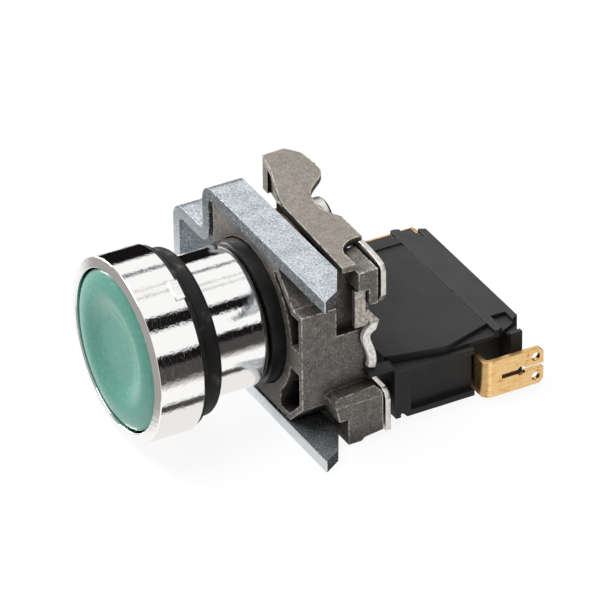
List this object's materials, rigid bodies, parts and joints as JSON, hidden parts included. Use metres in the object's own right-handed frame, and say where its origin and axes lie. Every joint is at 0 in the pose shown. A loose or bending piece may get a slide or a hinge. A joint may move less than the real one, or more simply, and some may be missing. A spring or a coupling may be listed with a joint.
{
  "type": "panel push button with contact block",
  "caption": "Flush round spring-return push button with chrome bezel, cast fixing collar with screw clamp and locking lever, and a contact block with quick-connect tabs.",
  "frame": {"origin": "on the button's axis, in the plane of the panel's front face, where the gasket's rear face bears", "axes": "+Y from the cap towards the contact block, +Z along the unit's width, which is its narrow side, +X along its height, towards the clamp's open ends"},
  "size_m": [0.0484, 0.0625, 0.03],
  "materials": {
    "chrome_plating": "bright",
    "green_plastic": "satin",
    "grey_plastic": "matte",
    "black_plastic": "matte",
    "black_rubber": "matte",
    "dark_plastic": "matte",
    "cast_zinc": "as cast, bare zinc alloy",
    "galvanised_steel": "bright zinc plating",
    "plated_steel": "bright",
    "spring_steel": "bright",
    "copper_alloy": "satin",
    "silver_alloy": "satin",
    "brass": "satin"
  },
  "bodies": {
    "base": {"bezel_body": "chrome_plating", "panel_gasket": "black_rubber", "lip_seal": "black_rubber", "bayonet_ring": "black_plastic", "return_spring": "spring_steel", "collar_body": "cast_zinc", "latch_plate": "plated_steel", "latch_spring": "plated_steel", "block_case": "dark_plastic", "block_cover": "dark_plastic", "plunger_spring": "spring_steel", "bridge_spring": "spring_steel", "near_terminal": "brass", "far_terminal": "brass", "near_contact": "silver_alloy", "far_contact": "silver_alloy"},
    "button": {"button_cap": "green_plastic", "pusher": "grey_plastic", "actuator_plate": "grey_plastic"},
    "plunger": {"block_plunger": "grey_plastic"},
    "bridge": {"contact_bridge": "copper_alloy", "bridge_tips": "silver_alloy"},
    "lever": {"locking_lever": "cast_zinc"},
    "clamp": {"clamp_bracket": "galvanised_steel"},
    "screw": {"clamp_screw": "plated_steel"}
  },
  "joints": [
    {"name": "button_press", "type": "slide", "parent": "base", "child": "button", "axis": [0, 1, 0], "range_m": [0, 0.0043], "stiffness_N_per_m": 400, "springref_m": -0.005, "deforming": ["return_spring"]},
    {"name": "plunger_slide", "type": "slide", "parent": "base", "child": "plunger", "axis": [0, 1, 0], "range_m": [0, 0.0043], "deforming": ["plunger_spring", "bridge_spring"]},
    {"name": "bridge_slide", "type": "slide", "parent": "base", "child": "bridge", "axis": [0, 1, 0], "range_m": [0, 0.0026]},
    {"name": "lever_turn", "type": "hinge", "parent": "base", "child": "lever", "pos_m": [0, 0.0206, 0], "axis": [0, -1, 0], "range_deg": [0, 18]},
    {"name": "clamp_slide", "type": "slide", "parent": "base", "child": "clamp", "axis": [0, -1, 0], "range_m": [0, 0.01]},
    {"name": "screw_turn", "type": "hinge", "parent": "clamp", "child": "screw", "pos_m": [-0.0175, 0.024, 0], "axis": [0, -1, 0], "range_deg": [0, 5143]}
  ],
  "couplings": [
    {"joint": "plunger_slide", "follows": "button_press", "ratio": 1},
    {"joint": "bridge_slide", "follows": "button_press", "ratio": 0.60465},
    {"joint": "screw_turn", "follows": "clamp_slide", "rad_per_m": 8976}
  ]
}
